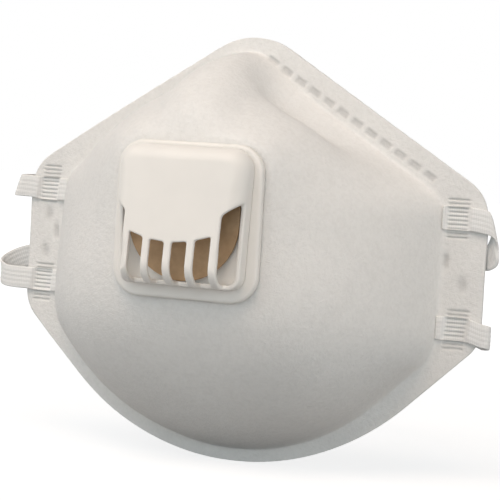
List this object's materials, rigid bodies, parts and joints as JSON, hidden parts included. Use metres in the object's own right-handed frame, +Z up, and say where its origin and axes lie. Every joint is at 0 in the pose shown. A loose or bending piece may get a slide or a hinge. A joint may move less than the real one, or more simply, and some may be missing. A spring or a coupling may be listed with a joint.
{
  "type": "disposable dust mask",
  "caption": "White moulded cup dust mask with a welded flange, a square exhalation valve with a tan rubber flap, a nose foam and elastic head straps.",
  "frame": {"origin": "middle of the face opening, on the wearer's side of the flange", "axes": "+Z up towards the nose, -Y the way the wearer looks, X from cheek to cheek"},
  "size_m": [0.1464, 0.1324, 0.1183],
  "materials": {
    "outer_web": "matt pressed nonwoven web with fine fibres",
    "filter_web": "matt fine filter web",
    "inner_web": "matt pressed nonwoven web",
    "foam": "open soft foam",
    "seat_plastic": "satin moulded white plastic",
    "cover_plastic": "satin moulded white plastic",
    "ring_plastic": "satin moulded white plastic",
    "flap_rubber": "tan rubber sheet, dull",
    "upper_elastic": "ribbed white elastic",
    "lower_elastic": "ribbed white elastic"
  },
  "bodies": {
    "mask_body": {"outer_shell": "outer_web", "filter_layer": "filter_web", "inner_shell": "inner_web", "nose_foam": "foam", "valve_seat": "seat_plastic", "valve_cover": "cover_plastic", "valve_retaining_ring": "ring_plastic", "upper_strap_left_end": "upper_elastic", "upper_strap_right_end": "upper_elastic", "lower_strap_left_end": "lower_elastic", "lower_strap_right_end": "lower_elastic"},
    "valve_flap": {"valve_flap": "flap_rubber"},
    "upper_strap": {"upper_strap_loop": "upper_elastic"},
    "lower_strap": {"lower_strap_loop": "lower_elastic"}
  },
  "joints": [
    {"name": "flap_hinge", "type": "hinge", "parent": "mask_body", "child": "valve_flap", "pos_m": [0, -0.0437, 0.0234], "axis": [-1, 0, 0], "range_deg": [0, 8], "stiffness_Nm_per_rad": 0.002, "springref_deg": -2.86},
    {"name": "upper_strap_swing", "type": "hinge", "parent": "mask_body", "child": "upper_strap", "pos_m": [0, 0.0112, 0.012], "axis": [1, 0, 0], "range_deg": [-12, 55], "stiffness_Nm_per_rad": 0.01, "springref_deg": 3.44},
    {"name": "lower_strap_swing", "type": "hinge", "parent": "mask_body", "child": "lower_strap", "pos_m": [0, 0.0112, -0.017], "axis": [1, 0, 0], "range_deg": [-45, 8], "stiffness_Nm_per_rad": 0.01, "springref_deg": 3.44}
  ]
}
